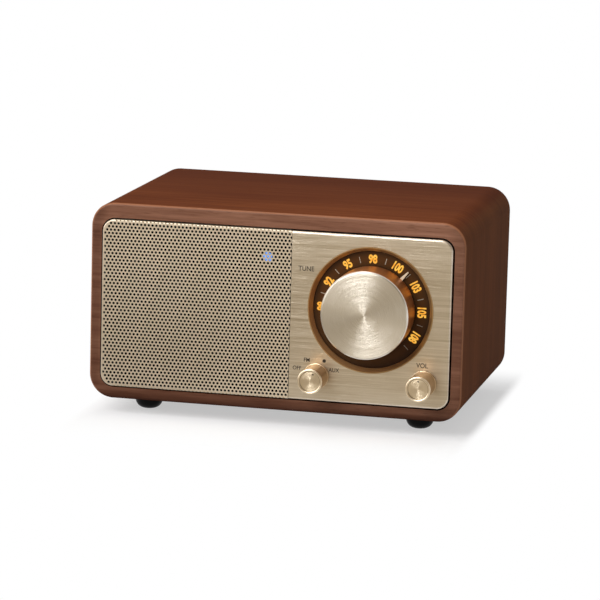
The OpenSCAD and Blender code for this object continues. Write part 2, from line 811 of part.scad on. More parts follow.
module selector_knob() { color([0.83, 0.74, 0.6]) in_place() small_knob(selector_x, selector_rest); }
module selector_shaft() { color("silver") in_place() small_shaft(selector_x, selector_rest); }
module selector_switch() { color([0.2, 0.25, 0.4]) in_place() small_pot(selector_x, 12); }
module selector_nut() { color("silver") in_place() small_nut(selector_x); }
module volume_knob() { color([0.83, 0.74, 0.6]) in_place() small_knob(volume_x, 0); }
module volume_shaft() { color("silver") in_place() small_shaft(volume_x, 0); }
module volume_pot() { color([0.3, 0.3, 0.32]) in_place() small_pot(volume_x, 10.4); }
module volume_nut() { color("silver") in_place() small_nut(volume_x); }

module control_board() {
  color([0.1, 0.35, 0.2]) in_place() difference() {
    translate([board_x0, board_y0, board_back]) cube([board_x1 - board_x0, board_y1 - board_y0, board_t]);
    for (p = post_spots) translate([p[0], p[1], board_back - 1]) cylinder(d = m25 + 4 * screw_gap, h = board_t + 2);
  }
}

module control_board_screws() {
  color("silver") in_place() for (p = post_spots) translate([p[0], p[1], board_back]) screw(m25, board_t + 7);
}

// ---- loudspeaker ----

module at_speaker() { translate([speaker_x, mid_y, 0]) children(); }

module speaker_basket() {
  floor_r = basket_foot_r;
  color([0.2, 0.2, 0.21]) in_place() {
    difference() {
      union() {
        at_speaker() rotate_extrude() polygon([
          [speaker_hole_r - 0.3, frame_front], [speaker_r, frame_front], [speaker_r, frame_front - frame_t],
          [speaker_hole_r + 0.3, frame_front - frame_t], [floor_r + 3, basket_foot],
          [coil_r + 0.8, basket_foot], [coil_r + 0.8, basket_foot + basket_foot_t],
          [floor_r + 0.5, basket_foot + basket_foot_t], [floor_r + 1.2, spider_z - 0.5],
          [floor_r + 2.6, spider_z - 0.5]
        ]);
        at_ears() translate([0, 0, frame_front - frame_t]) cylinder(r = ear_r, h = frame_t);
        for (a = [45:90:315]) at_speaker() rotate([0, 0, a])
          translate([speaker_r - 2, -ear_r, frame_front - frame_t])
            cube([ear_at - speaker_r + 2, 2 * ear_r, frame_t]);
      }
      at_ears() translate([0, 0, frame_front - 5]) cylinder(d = m3 + 2 * screw_gap, h = 10);
      // windows between the basket's four arms
      for (a = [0:90:270]) at_speaker() rotate([0, 0, a])
        translate([floor_r, -11, spider_z + 1.5]) cube([20, 22, frame_front - frame_t - spider_z - 2.5]);
    }
  }
}

module speaker_gasket() {
  color([0.1, 0.1, 0.1]) in_place() at_speaker() translate([0, 0, frame_front])
    tube(speaker_r, speaker_r - gasket_w, gasket_t);
}

module speaker_surround() {
  color([0.07, 0.07, 0.07]) in_place() at_speaker() rotate_extrude() {
    translate([roll_mid, frame_front]) intersection() {
      difference() {
        circle(r = roll_r);
        circle(r = roll_r - surround_t);
      }
      translate([-roll_r - 1, 0]) square([2 * roll_r + 2, roll_r + 1]);
    }
    translate([roll_mid + roll_r - surround_t, frame_front])
      square([speaker_r - gasket_w - 0.3 - roll_mid - roll_r + surround_t, surround_t]);
    translate([cone_r - 1.2, frame_front]) square([1.2 + surround_t, surround_t]);
  }
}

cone_rim = frame_front;
cone_neck = spider_z + 2.2;

module speaker_cone() {
  color([0.16, 0.16, 0.17]) in_place() at_speaker() rotate_extrude() polygon([
    [coil_r + 0.05, cone_neck], [cone_r - 1.4, cone_rim - cone_t], [cone_r, cone_rim - cone_t],
    [cone_r, cone_rim], [cone_r - 1.6, cone_rim], [coil_r + 0.05, cone_neck + cone_t * 1.3]
  ]);
}

cap_r = coil_r + 1.4;
cap_rise = 3.2;

module dust_cap() {
  ball = (cap_r * cap_r + cap_rise * cap_rise) / (2 * cap_rise);
  seat = cone_neck + cone_t * 1.3 + (cap_r - coil_r) * (cone_rim - cone_neck) / (cone_r - coil_r) + 0.2;
  color([0.1, 0.1, 0.1]) in_place() at_speaker() translate([0, 0, seat]) rotate_extrude() intersection() {
    translate([0, cap_rise - ball]) difference() {
      circle(r = ball);
      circle(r = ball - 0.4);
    }
    square([cap_r + 1, cap_rise + 1]);
  }
}

module speaker_spider() {
  ridge = 2;
  color([0.75, 0.6, 0.3]) in_place() at_speaker() translate([0, 0, spider_z]) rotate_extrude() polygon(concat(
    [for (i = [0:4]) [coil_r + 0.05 + i * ridge, i % 2 * 0.8]],
    [[basket_foot_r + 1.9, 0], [basket_foot_r + 1.9, 0.4]],
    [for (i = [4:-1:0]) [coil_r + 0.05 + i * ridge, i % 2 * 0.8 + 0.4]]
  ));
}

module voice_coil() {
  color([0.72, 0.45, 0.2]) in_place() at_speaker() translate([0, 0, basket_foot - top_plate_t - 2])
    tube(coil_r, coil_in_r, cone_neck + 0.6 - basket_foot + top_plate_t + 2);
}

module speaker_magnet() {
  color([0.15, 0.15, 0.16]) in_place() at_speaker() translate([0, 0, speaker_back + back_plate_t])
    tube(magnet_r, magnet_in_r, magnet_t);
}

module speaker_yoke() {
  color([0.6, 0.6, 0.62]) in_place() at_speaker() {
    translate([0, 0, basket_foot - top_plate_t]) tube(basket_foot_r, coil_r + 0.4, top_plate_t);
    translate([0, 0, speaker_back]) cylinder(r = basket_foot_r, h = back_plate_t);
    translate([0, 0, speaker_back]) cylinder(r = coil_in_r - 0.4, h = basket_foot - speaker_back);
  }
}

module speaker_screws() {
  color("silver") in_place() at_ears() translate([0, 0, frame_front - frame_t]) screw(m3, frame_t + gasket_t + 1.8);
}

// ---- status lamp behind the grille ----

module status_light_pipe() {
  color([0.5, 0.7, 1]) in_place() translate([lamp_x, lamp_y, pipe_back])
    cylinder(r = pipe_r, h = sheet_back - pipe_gap - pipe_back);
}

module status_led() {
  color([0.3, 0.5, 0.9]) in_place() {
    translate([lamp_x - 1, lamp_y - 1, pipe_back - lamp_led_t]) cube([2, 2, lamp_led_t - pipe_gap]);
    translate([lamp_x - 2.2, lamp_y - 2.4, pipe_back - lamp_led_t - lamp_board_t])
      cube([10.6, 8.6, lamp_board_t]);
  }
}

// ---- main board and what is on it ----

standoff_spots = [
  for (x = [-1, 1], z = [main_front - 4, main_back + 16]) [main_x + x * (main_w / 2 - 3.5), z]
];
standoff_h = main_y - floor_y;
board_hole_d = m25 + 4 * screw_gap;

module main_board() {
  color([0.08, 0.3, 0.18]) in_place() difference() {
    translate([main_x - main_w / 2, main_y, main_back]) cube([main_w, board_t, main_l]);
    for (p = standoff_spots) translate([p[0], main_y - 1, p[1]]) rotate([-90, 0, 0])
      cylinder(d = board_hole_d, h = board_t + 2);
  }
}

module board_standoffs() {
  color([0.8, 0.7, 0.4]) in_place() for (p = standoff_spots) translate([p[0], floor_y, p[1]])
    rotate([-90, 0, 0]) difference() {
      cylinder(r = standoff_r / cos(30), h = standoff_h, $fn = 6);
      translate([0, 0, standoff_h - 4.4]) cylinder(d = m25 + 2 * screw_gap, h = 5);
    }
}

module main_board_screws() {
  color("silver") in_place() for (p = standoff_spots) translate([p[0], main_y + board_t, p[1]])
    rotate([90, 0, 0]) screw(m25, board_t + 4);
}

module receiver_can() {
  color([0.75, 0.75, 0.76]) in_place() translate([main_x + 6, main_y + board_t, main_front - 30]) difference() {
    cube([18, 3.2, 20]);
    for (x = [4:5:14], z = [5:5:15]) translate([x, 2.4, z]) rotate([-90, 0, 0]) cylinder(r = 0.8, h = 2);
  }
}

module capacitors() {
  color([0.1, 0.12, 0.25]) in_place() for (i = [0:2])
    translate([main_x - 20 + 10 * i, main_y + board_t, main_front - 18]) rotate([-90, 0, 0]) {
      cylinder(r = 4, h = 11.4);
      translate([0, 0, 11.4]) cylinder(r1 = 4, r2 = 3.6, h = 0.4);
    }
}

module aux_jack() {
  color([0.1, 0.1, 0.1]) in_place() difference() {
    union() {
      translate([jack_x - jack_w / 2, main_y + board_t, cover_in_z + 0.2]) cube([jack_w, jack_h, jack_l]);
      translate([jack_x, jack_y, cover_out_z]) cylinder(r = jack_nose_r, h = cover_t + 0.2);
    }
    translate([jack_x, jack_y, cover_out_z - 1]) cylinder(d = jack_bore, h = 13);
  }
}

module usb_section(w, h) { rounded(w, h, h / 2 - 0.01); }

module usb_inlet() {
  color([0.7, 0.7, 0.72]) in_place() translate([usb_x, usb_y, cover_out_z]) {
    difference() {
      linear_extrude(9) usb_section(usb_w + 2 * usb_shell, usb_h + 2 * usb_shell);
      translate([0, 0, -1]) linear_extrude(8.5) usb_section(usb_w, usb_h);
    }
    translate([-3.3, -0.35, 1]) cube([6.6, 0.7, 7]);
  }
}

// ---- battery ----

module pack_section(grow) {
  square([cell_d, cell_d + 2 * grow], center = true);
  for (s = [-1, 1]) translate([s * cell_d / 2, 0]) circle(r = cell_d / 2 + grow);
}

module along_pack() { translate([pack_x, pack_y, pack_z]) rotate([0, 90, 0]) children(); }

module battery_pack() {
  color([0.15, 0.3, 0.55]) in_place() along_pack() translate([0, 0, -cell_l / 2]) linear_extrude(cell_l)
    pack_section(0);
}

module battery_cradle() {
  w = cell_l + 2 * cradle_gap + 2 * cradle_wall;
  d = 2 * cell_d + 2 * cradle_gap + 2 * cradle_wall;
  color([0.12, 0.12, 0.12]) in_place() translate([pack_x, floor_y, pack_z]) difference() {
    translate([-w / 2, 0, -d / 2]) cube([w, cradle_t + 9, d]);
    translate([-w / 2 + cradle_wall, cradle_t, -d / 2 + cradle_wall])
      cube([w - 2 * cradle_wall, 20, d - 2 * cradle_wall]);
    // the strap drops through a notch in each long wall
    for (s = [-1, 1]) translate([0, cradle_t + 10, s * d / 2])
      cube([strap_w + 1, 20, 3 * cradle_wall], center = true);
    for (s = [-1, 1]) translate([s * w / 4, 5, s * 0]) cube([8, 2, 2 * d], center = true);
  }
}

module battery_strap() {
  color([0.6, 0.6, 0.62]) in_place() along_pack() translate([0, 0, -strap_w / 2]) linear_extrude(strap_w)
    intersection() {
      difference() {
        pack_section(0.1 + strap_t);
        pack_section(0.1);
      }
      translate([-2 * cell_d, -3.4]) square([4 * cell_d, 2 * cell_d]);
    }
}

// ---- rear cover ----

vent_count = 9;
vent_w = 40;
vent_h = 1.8;
vent_pitch = 4;
vent_x = speaker_x;
vent_y = mid_y + 4;

module rear_cover() {
  color([0.1, 0.1, 0.1]) in_place() difference() {
    union() {
      translate([0, mid_y, cover_out_z]) linear_extrude(cover_t) rounded(cover_w, cover_h, cover_r);
      // stiffening ribs inside
      for (x = [vent_x - vent_w / 2 - 4, vent_x + vent_w / 2 + 4])
        translate([x - rib_t / 2, mid_y - cover_h / 2 + 18, cover_in_z]) cube([rib_t, cover_h - 32, 2]);
      translate([vent_x - vent_w / 2 - 4, vent_y - 22, cover_in_z]) cube([vent_w + 8, rib_t, 2]);
      translate([vent_x - vent_w / 2 - 4, vent_y + 20, cover_in_z]) cube([vent_w + 8, rib_t, 2]);
    }
    for (i = [0:vent_count - 1]) {
      y = vent_y + (i - (vent_count - 1) / 2) * vent_pitch;
      translate([vent_x, y, cover_out_z - 1]) linear_extrude(cover_t + 2) {
        square([vent_w - vent_h, vent_h], center = true);
        for (s = [-1, 1]) translate([s * (vent_w - vent_h) / 2, 0]) circle(r = vent_h / 2);
      }
    }
    for (p = cover_spots) translate([p[0], p[1], cover_out_z - 1]) {
      cylinder(d = m3 + 4 * screw_gap, h = cover_t + 2);
      cylinder(d = 2.3 * m3, h = 2.2);
    }
    translate([jack_x, jack_y, cover_out_z - 1]) cylinder(r = jack_nose_r + socket_gap, h = cover_t + 2);
    translate([usb_x, usb_y, cover_out_z - 1]) linear_extrude(cover_t + 2)
      usb_section(usb_w + 2 * usb_shell + 2 * socket_gap, usb_h + 2 * usb_shell + 2 * socket_gap);
  }
}

module rear_screws() {
  color([0.2, 0.2, 0.2]) in_place() for (p = cover_spots) translate([p[0], p[1], cover_out_z + 1.2]) screw(m3, 11);
}

// ---- aerial and ribbon cable ----

module antenna_strip() {
  strip_w = 8;
  color([0.75, 0.5, 0.3]) in_place() translate([-45, ceiling_y - 0.3, speaker_back - 14]) {
    cube([90, 0.3, strip_w]);
    translate([90 - strip_w, 0, -30]) cube([strip_w, 0.3, 31]);
  }
}

ribbon_w = 12;
ribbon_t = 0.3;
ribbon_x = dial_x + 3;

module ribbon_cable() {
  // the middle line of the cable in depth and height, from one connector to the other
  z0 = board_back - 3;
  y0 = board_y0 + 9;
  z1 = main_front - 3.6;
  y1 = main_y + board_t + 3;
  r = 3;
  color([0.8, 0.8, 0.78]) in_place() translate([ribbon_x - ribbon_w / 2, 0, 0]) {
    // the two connectors
    translate([-1, y0 - 2.5, board_back - 4.5]) cube([ribbon_w + 2, 5, 4.5]);
    translate([-1, main_y + board_t, z1 - 2.5]) cube([ribbon_w + 2, 4.4, 5]);
    translate([0, y0 - ribbon_t / 2, z1 + r]) cube([ribbon_w, ribbon_t, board_back - 4.4 - z1 - r]);
    translate([0, y1 + 1.3, z1 - ribbon_t / 2]) cube([ribbon_w, max(y0 - r - y1 - 1.3, 0.1), ribbon_t]);
    translate([0, y0 - r, z1 + r]) rotate([0, 90, 0]) rotate([0, 0, 0]) intersection() {
      tube(r + ribbon_t / 2, r - ribbon_t / 2, ribbon_w);
      translate([0, 0, -1]) cube([r + 1, r + 1, ribbon_w + 2]);
    }
  }
}

cabinet();
corner_blocks();
foot_front_left();
foot_front_right();
foot_rear_left();
foot_rear_right();
foot_studs();
front_chassis();
chassis_screws();
speaker_grille();
grille_cloth();
control_panel();
dial_bezel();
dial_plate();
dial_light_guide();
dial_leds();
dial_light_board();
tuning_knob();
tuning_hub();
tuning_pointer();
tuning_shaft();
tuning_pot();
tuning_nut();
selector_knob();
selector_shaft();
selector_switch();
selector_nut();
volume_knob();
volume_shaft();
volume_pot();
volume_nut();
control_board();
control_board_screws();
speaker_basket();
speaker_gasket();
speaker_cone();
speaker_surround();
dust_cap();
speaker_spider();
voice_coil();
speaker_magnet();
speaker_yoke();
speaker_screws();
status_light_pipe();
status_led();
main_board();
board_standoffs();
main_board_screws();
receiver_can();
capacitors();
aux_jack();
usb_inlet();
battery_pack();
battery_cradle();
battery_strap();
rear_cover();
rear_screws();
antenna_strip();
ribbon_cable();
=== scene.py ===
import json
import math

import bmesh
import bpy
from mathutils import Matrix, Vector


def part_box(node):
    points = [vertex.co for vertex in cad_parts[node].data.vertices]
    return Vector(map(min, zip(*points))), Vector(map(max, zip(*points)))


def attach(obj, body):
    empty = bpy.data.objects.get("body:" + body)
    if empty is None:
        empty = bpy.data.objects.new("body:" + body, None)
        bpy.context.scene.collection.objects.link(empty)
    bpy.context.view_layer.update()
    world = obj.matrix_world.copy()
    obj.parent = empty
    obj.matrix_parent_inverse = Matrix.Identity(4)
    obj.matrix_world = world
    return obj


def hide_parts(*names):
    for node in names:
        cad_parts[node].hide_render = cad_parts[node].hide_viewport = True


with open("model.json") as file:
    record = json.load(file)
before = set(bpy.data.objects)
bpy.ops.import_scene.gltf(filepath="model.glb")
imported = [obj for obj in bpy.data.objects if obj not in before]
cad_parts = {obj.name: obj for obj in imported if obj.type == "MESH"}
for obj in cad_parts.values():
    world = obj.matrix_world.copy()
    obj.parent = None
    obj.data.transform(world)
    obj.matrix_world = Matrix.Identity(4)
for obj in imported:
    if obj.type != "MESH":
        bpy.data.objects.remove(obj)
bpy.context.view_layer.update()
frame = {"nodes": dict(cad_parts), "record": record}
nodes = frame["nodes"]
mm = 0.001
scene = bpy.context.scene
print("frame loaded:", len(nodes), "nodes")


class Wire:
    # a node's output, so that shader maths can be written as expressions
    def __init__(self, paint, socket):
        self.paint = paint
        self.socket = socket

    def maths(self, operation, *values):
        inputs = {i: v for i, v in enumerate((self,) + values)}
        return self.paint.node("Math", {"operation": operation}, inputs)

    def __add__(self, other):
        return self.maths("ADD", other)

    def __radd__(self, other):
        return self.maths("ADD", other)

    def __sub__(self, other):
        return self.maths("SUBTRACT", other)

    def __rsub__(self, other):
        return self.maths("MULTIPLY", -1.0) + other

    def __mul__(self, other):
        return self.maths("MULTIPLY", other)

    def __rmul__(self, other):
        return self.maths("MULTIPLY", other)

    def __truediv__(self, other):
        return self.maths("DIVIDE", other)

    def __pow__(self, other):
        return self.maths("POWER", other)

    def __abs__(self):
        return self.maths("ABSOLUTE")

    def __lt__(self, other):
        return self.maths("LESS_THAN", other)

    def ramp(self, low, high, smooth=True):
        return self.paint.node(
            "MapRange",
            {"interpolation_type": "SMOOTHSTEP" if smooth else "LINEAR"},
            {"Value": self, "From Min": low, "From Max": high},
        )

    def stops(self, *stops):
        return self.paint.node("ValToRGB", {"stops": stops}, {"Fac": self})


class Paint:
    # one material, or the world, and the nodes that it is made of
    def __init__(self, name, home=bpy.data.materials):
        self.material = home.new(name)
        self.material.use_nodes = True
        self.tree = self.material.node_tree
        self.tree.nodes.clear()

    def join(self, socket, value):
        if isinstance(value, Wire):
            self.tree.links.new(value.socket, socket)
        elif isinstance(value, tuple) and len(value) == 3 and socket.type == "RGBA":
            socket.default_value = value + (1.0,)
        else:
            socket.default_value = value

    def node(self, kind, settings=None, inputs=None, output=0):
        made = self.tree.nodes.new("ShaderNode" + kind)
        for key, value in (settings or {}).items():
            if key == "stops":
                while len(made.color_ramp.elements) < len(value):
                    made.color_ramp.elements.new(1.0)
                for element, (position, tone) in zip(made.color_ramp.elements, value):
                    element.position = position
                    element.color = tone + (1.0,)
            else:
                setattr(made, key, value)
        for key, value in (inputs or {}).items():
            self.join(made.inputs[key], value)
        return Wire(self, made.outputs[output])

    def coords(self, scale=(1, 1, 1), centre=(0, 0, 0)):
        # places on the piece, measured from a centre and drawn closer together by the scale
        onPiece = self.node("TexCoord", output="Object")
        shift = tuple(-c * s for c, s in zip(centre, scale))
        return self.node("Mapping", {}, {"Vector": onPiece, "Scale": scale, "Location": shift})

    def axes(self, vector):
        split = self.node("SeparateXYZ", {}, {0: vector}).socket.node
        return [Wire(self, split.outputs[i]) for i in range(3)]

    def noise(self, vector, detail=2.0, roughness=0.5, distortion=0.0):
        return self.node("TexNoise", {}, {
            "Vector": vector, "Scale": 1.0, "Detail": detail, "Roughness": roughness,
            "Distortion": distortion,
        })

    def blend(self, amount, first, second):
        return self.node("Mix", {"data_type": "RGBA"}, {0: amount, 6: first, 7: second}, output=2)

    def plainLight(self, tone, kind="Emission"):
        return self.node(kind, {}, {"Color": tone, "Strength": 1.0})

    def mix(self, amount, first, second):
        return self.node("MixShader", {}, {0: amount, 1: first, 2: second})

    def facing(self):
        # 1 where the surface looks straight ahead or straight back, 0 where it looks to a side
        return abs(self.axes(self.node("NewGeometry", output="Normal"))[1])

    def circles(self, radius, fineness, detail=2.0, roughness=0.6):
        # noise that changes only with the distance from an axis, like the marks of a lathe
        along = self.node("CombineXYZ", {}, {0: radius * fineness, 1: 0.37, 2: 0.61})
        return self.noise(along, detail, roughness)

    def bump(self, height, depth, strength=1.0):
        return self.node("Bump", {}, {"Height": height, "Distance": depth, "Strength": strength})

    def tilted(self, direction, slope):
        # the surface normal leant along a direction, as the fine marks of a tool lean it
        normal = self.node("NewGeometry", output="Normal")
        lean = self.node("VectorMath", {"operation": "SCALE"}, {0: direction, "Scale": slope})
        leant = self.node("VectorMath", {"operation": "ADD"}, {0: normal, 1: lean})
        return self.node("VectorMath", {"operation": "NORMALIZE"}, {0: leant})

    def inWorld(self, vector):
        return self.node(
            "VectorTransform", {"vector_type": "VECTOR", "convert_from": "OBJECT", "convert_to": "WORLD"},
            {"Vector": vector})

    def shader(self, **inputs):
        values = {key.replace("_", " "): value for key, value in inputs.items()}
        return self.node("BsdfPrincipled", {}, values)

    def finish(self, shader, kind="Material"):
        output = self.tree.nodes.new("ShaderNodeOutput" + kind)
        self.tree.links.new(shader.socket, output.inputs["Surface"])
        return self.material


def colour(red, green, blue):
    def linear(c):
        c /= 255
        return c / 12.92 if c <= 0.04045 else ((c + 0.055) / 1.055) ** 2.4
    return (linear(red), linear(green), linear(blue))


def middle(name):
    low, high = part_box(name)
    return (low + high) / 2


cabinetLow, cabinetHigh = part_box("cabinet")
cabinetCentre = (cabinetLow + cabinetHigh) / 2
dialCentre = middle("dial_bezel")
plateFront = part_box("dial_plate")[0].y
panelLow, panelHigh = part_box("control_panel")
panelFront = panelLow.y
frontY = cabinetLow.y
figuresAt = 19.9  # the ring of figures, in millimetres from the dial's centre


wood = {
    "dark": colour(92, 44, 23), "middle": colour(114, 59, 30), "light": colour(132, 72, 38),
    # the front frame's palette is paler and greyer than the case's: painted sheen
    "frontSheenDark": colour(98, 62, 46), "frontSheenMiddle": colour(130, 89, 69), "frontSheenLight": colour(154, 110, 88),
    "edge": colour(176, 118, 82), "sides": colour(137, 94, 60), "railShadeTone": colour(52, 24, 14),
    "pore": colour(58, 30, 19), "opening": colour(14, 8, 5),
    "edgeShare": 0.6, "sidesShare": 0.3, "railShadeShare": 0.46, "rightRailShadeShare": 0.45, "backShadeShare": 0.75,
    "underShadeShare": 0.75, "openingShare": 0.92, "openingGap": 0.0012,
    # distances in from the cabinet's sides over which a tone sets in
    "railSide": (0.009, 0.002), "railLow": (0.010, 0.003), "underEdge": (0.0035, 0.0005),
    "backFades": 0.045,  # from this far ahead of the middle of the top to this far behind it
    # how tightly each layer of the grain repeats along x, y and z
    "waves": (5, 60, 5), "fine": (14, 420, 14), "pores": (120, 2600, 120),
    "frontWaves": (10, 40, 90), "frontFine": (26, 60, 520), "frontPores": (140, 900, 2400),
    "roughness": 0.48, "coat": 0.04, "coatRoughness": 0.32, "grainDepth": 0.00005,
}


def woodFinish():
    paint = Paint("lacqueredWood")
    facing = paint.facing()
    front = facing.ramp(0.62, 0.88)
    # the veneer runs round the case, so its grain lies square to the depth there
    outWaves = paint.noise(paint.coords(scale=wood["waves"]), 3.0, 0.55, 0.6)
    outFine = paint.noise(paint.coords(scale=wood["fine"]), 5.0, 0.62, 0.25)
    frontWaves = paint.noise(paint.coords(scale=wood["frontWaves"]), 3.0, 0.6, 0.8)
    frontFine = paint.noise(paint.coords(scale=wood["frontFine"]), 5.0, 0.65, 0.4)
    outGrain = outWaves * 0.5 + outFine * 0.5
    frontGrain = frontWaves * 0.45 + frontFine * 0.55
    outTone = outGrain.stops((0.34, wood["dark"]), (0.5, wood["middle"]), (0.66, wood["light"]))
    # the front frame's grain runs its own way, and its paler, greyer palette is painted sheen
    frontSheenTone = frontGrain.stops(
        (0.34, wood["frontSheenDark"]), (0.5, wood["frontSheenMiddle"]), (0.66, wood["frontSheenLight"]))
    poresOut = paint.noise(paint.coords(scale=wood["pores"]), 2.0, 0.5)
    poresFront = paint.noise(paint.coords(scale=wood["frontPores"]), 2.0, 0.5)
    pores = (poresOut * (1.0 - front) + poresFront * front).ramp(0.58, 0.72)

    x, y, z = paint.axes(paint.coords(centre=tuple(cabinetCentre)))
    halfWide, halfTall = (cabinetHigh.x - cabinetLow.x) / 2, (cabinetHigh.z - cabinetLow.z) / 2
    # painted shade darkens the top towards the back, and a painted sheen makes the sides paler and greyer
    sideways, _, upward = paint.axes(paint.node("NewGeometry", output="Normal"))
    backShade = upward.ramp(0.5, 0.9) * y.ramp(-wood["backFades"], wood["backFades"])
    outTone = paint.blend(backShade * wood["backShadeShare"], outTone, wood["dark"])
    outTone = paint.blend(abs(sideways).ramp(0.5, 0.9) * wood["sidesShare"], outTone, wood["sides"])
    # painted shade darkens the left and lower rails of the front frame the most, and the right one less
    sideRamp = [halfWide - inset for inset in wood["railSide"]]
    leftRail = (x * -1.0).ramp(*sideRamp)
    rightRail = x.ramp(*sideRamp) * wood["rightRailShadeShare"]
    lowRail = (z * -1.0).ramp(*[halfTall - inset for inset in wood["railLow"]])
    railShade = leftRail.maths("MAXIMUM", lowRail).maths("MAXIMUM", rightRail)
    frontSheenTone = paint.blend(railShade * wood["railShadeShare"], frontSheenTone, wood["railShadeTone"])
    tone = paint.blend(front, outTone, frontSheenTone)
    tone = paint.blend(pores * (0.22 + front * 0.25), tone, wood["pore"])
    # a painted highlight makes the rounded front edges paler, except along the bottom
    under = (z * -1.0).ramp(*[halfTall - inset for inset in wood["underEdge"]])
    edge = facing.ramp(0.12, 0.5) * (1.0 - facing.ramp(0.7, 0.97)) * (1.0 - under)
    tone = paint.blend(edge * wood["edgeShare"], tone, wood["edge"])
    # painted shade darkens the bottom edge of the front
    underShade = under * front.maths("MAXIMUM", facing.ramp(0.05, 0.4))
    tone = paint.blend(underShade * wood["underShadeShare"], tone, wood["railShadeTone"])
    # painted shade darkens the walls of the front opening
    wide = panelHigh.x + wood["openingGap"]
    tall = (panelHigh.z - panelLow.z) / 2 + wood["openingGap"]
    lift = (panelHigh.z + panelLow.z) / 2 - cabinetCentre.z
    wallShade = (abs(x) < wide) * (abs(z - lift) < tall) * (1.0 - facing.ramp(0.3, 0.7))
    tone = paint.blend(wallShade * wood["openingShare"], tone, wood["opening"])

    grain = outGrain * (1.0 - front) + frontGrain * front
    height = grain * 0.4 - pores * 0.6
    return paint.finish(paint.shader(
        Base_Color=tone, Roughness=wood["roughness"] + grain * 0.12, Specular_IOR_Level=0.0,
        Coat_Weight=edge * 0.3 + front * 0.1 + wood["coat"], Coat_Roughness=wood["coatRoughness"],
        Normal=paint.bump(height, wood["grainDepth"], 0.5),
    ))


sheetMetal = {
    "tone": colour(228, 215, 195), "blotch": colour(208, 190, 160), "wall": colour(42, 34, 24),
    "roughness": 0.40, "metallic": 0.85, "rim": 0.0012, "grainSize": 900, "grainDepth": 0.000012,
    "blotchSize": 45,
}
sheetLow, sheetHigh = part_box("speaker_grille")


def sheetFinish():
    paint = Paint("perforatedSheet")
    grain = paint.noise(paint.coords(scale=(sheetMetal["grainSize"],) * 3), 3.0, 0.6)
    blotch = paint.noise(paint.coords(scale=(sheetMetal["blotchSize"],) * 3), 2.0, 0.5)
    tone = paint.blend(blotch.ramp(0.35, 0.65) * 0.10, sheetMetal["tone"], sheetMetal["blotch"])
    # painted shade darkens the punched walls of the holes, and the rolled rim stays as bright as the face
    x, y, z = paint.axes(paint.coords(centre=tuple((sheetLow + sheetHigh) / 2)))
    halfWide, halfTall = (sheetHigh.x - sheetLow.x) / 2, (sheetHigh.z - sheetLow.z) / 2
    inside = (abs(x) < halfWide - sheetMetal["rim"]) * (abs(z) < halfTall - sheetMetal["rim"])
    holeShade = inside * (1.0 - paint.facing().ramp(0.2, 0.6))
    tone = paint.blend(holeShade, tone, sheetMetal["wall"])
    return paint.finish(paint.shader(
        Base_Color=tone, Metallic=sheetMetal["metallic"],
        Roughness=sheetMetal["roughness"] + grain * 0.10,
        Normal=paint.bump(grain, sheetMetal["grainDepth"], 0.4),
    ))


panelMetal = {
    "light": colour(236, 226, 211), "dark": colour(198, 185, 163), "roughness": 0.30, "comb": 0.23,
    # long along the panel and thin across it
    "hair": (22, 1, 3600), "streak": (9, 1, 700), "band": (5, 1, 120), "strands": (60, 1, 14000),
}


def brushedFinish():
    paint = Paint("brushedPanel")
    hair = paint.noise(paint.coords(scale=panelMetal["hair"]), 4.0, 0.7)
    streak = paint.noise(paint.coords(scale=panelMetal["streak"]), 3.0, 0.6)
    band = paint.noise(paint.coords(scale=panelMetal["band"]), 2.0, 0.5)
    brushed = hair * 0.45 + streak * 0.35 + band * 0.2
    tone = brushed.stops((0.36, panelMetal["dark"]), (0.62, panelMetal["light"]))
    strands = paint.noise(paint.coords(scale=panelMetal["strands"]), 2.0, 0.8)
    upward = paint.node("CombineXYZ", {}, {2: 1.0})
    slope = (strands.ramp(0.3, 0.7, False) - 0.5) * paint.facing().ramp(0.80, 0.97) * panelMetal["comb"] * 2
    return paint.finish(paint.shader(
        Base_Color=tone, Metallic=1.0, Roughness=panelMetal["roughness"] + brushed * 0.12,
        Normal=paint.tilted(upward, slope),
    ))


spunMetal = {
    "bigFace": colour(232, 226, 216), "bigSideReflection": colour(200, 132, 78),
    "smallFace": colour(248, 232, 206), "smallSideReflection": colour(200, 164, 118),
    "roughness": 0.31, "comb": 0.45, "fineCircles": 300000.0, "wideCircles": 1500.0,
    "shadedDish": 0.004, "dishShadowLine": 0.0002,
}


def turnedFinish(name, tone, side, centre, shadedDish=None):
    # fine circles left by the lathe on what faces forwards, and a smooth polish on the sides, whose warm colour
    # is a painted reflection
    paint = Paint(name)
    x, y, z = paint.axes(paint.coords(centre=tuple(centre)))
    radius = (x * x + z * z) ** 0.5
    facing = paint.facing()
    fine = paint.circles(radius, spunMetal["fineCircles"], 1.0, 0.8)
    wide = paint.circles(radius, spunMetal["wideCircles"])
    outward = paint.inWorld(paint.node("CombineXYZ", {}, {0: x / radius, 2: z / radius}))
    face = paint.blend(wide.ramp(0.3, 0.7) * 0.05, tone, tuple(c * 0.7 for c in tone))
    if shadedDish:
        # painted shade darkens the recessed face a little, with a painted shadow line under its rim
        face = paint.blend((radius < shadedDish) * 0.22, face, tuple(c * 0.5 for c in tone))
        line = 1.0 - abs(radius - shadedDish).ramp(0.0, spunMetal["dishShadowLine"])
        face = paint.blend(line * 0.75, face, tuple(c * 0.2 for c in tone))
    front = facing.ramp(0.25, 0.5)
    slope = (fine.ramp(0.32, 0.68, False) - 0.5) * facing.ramp(0.90, 0.99) * spunMetal["comb"] * 2
    # the side colour is a painted warm reflection
    return paint.finish(paint.shader(
        Base_Color=paint.blend(front, side, face), Metallic=front * 0.2 + 0.8,
        Roughness=spunMetal["roughness"] + (1.0 - front) * 0.10,
        Normal=paint.tilted(outward, slope),
    ))


ring = {
    "tone": colour(192, 158, 110), "shade": colour(146, 112, 70), "roughness": 0.46, "metallic": 0.75,
    "circles": 6000.0, "depth": 0.00001,
}


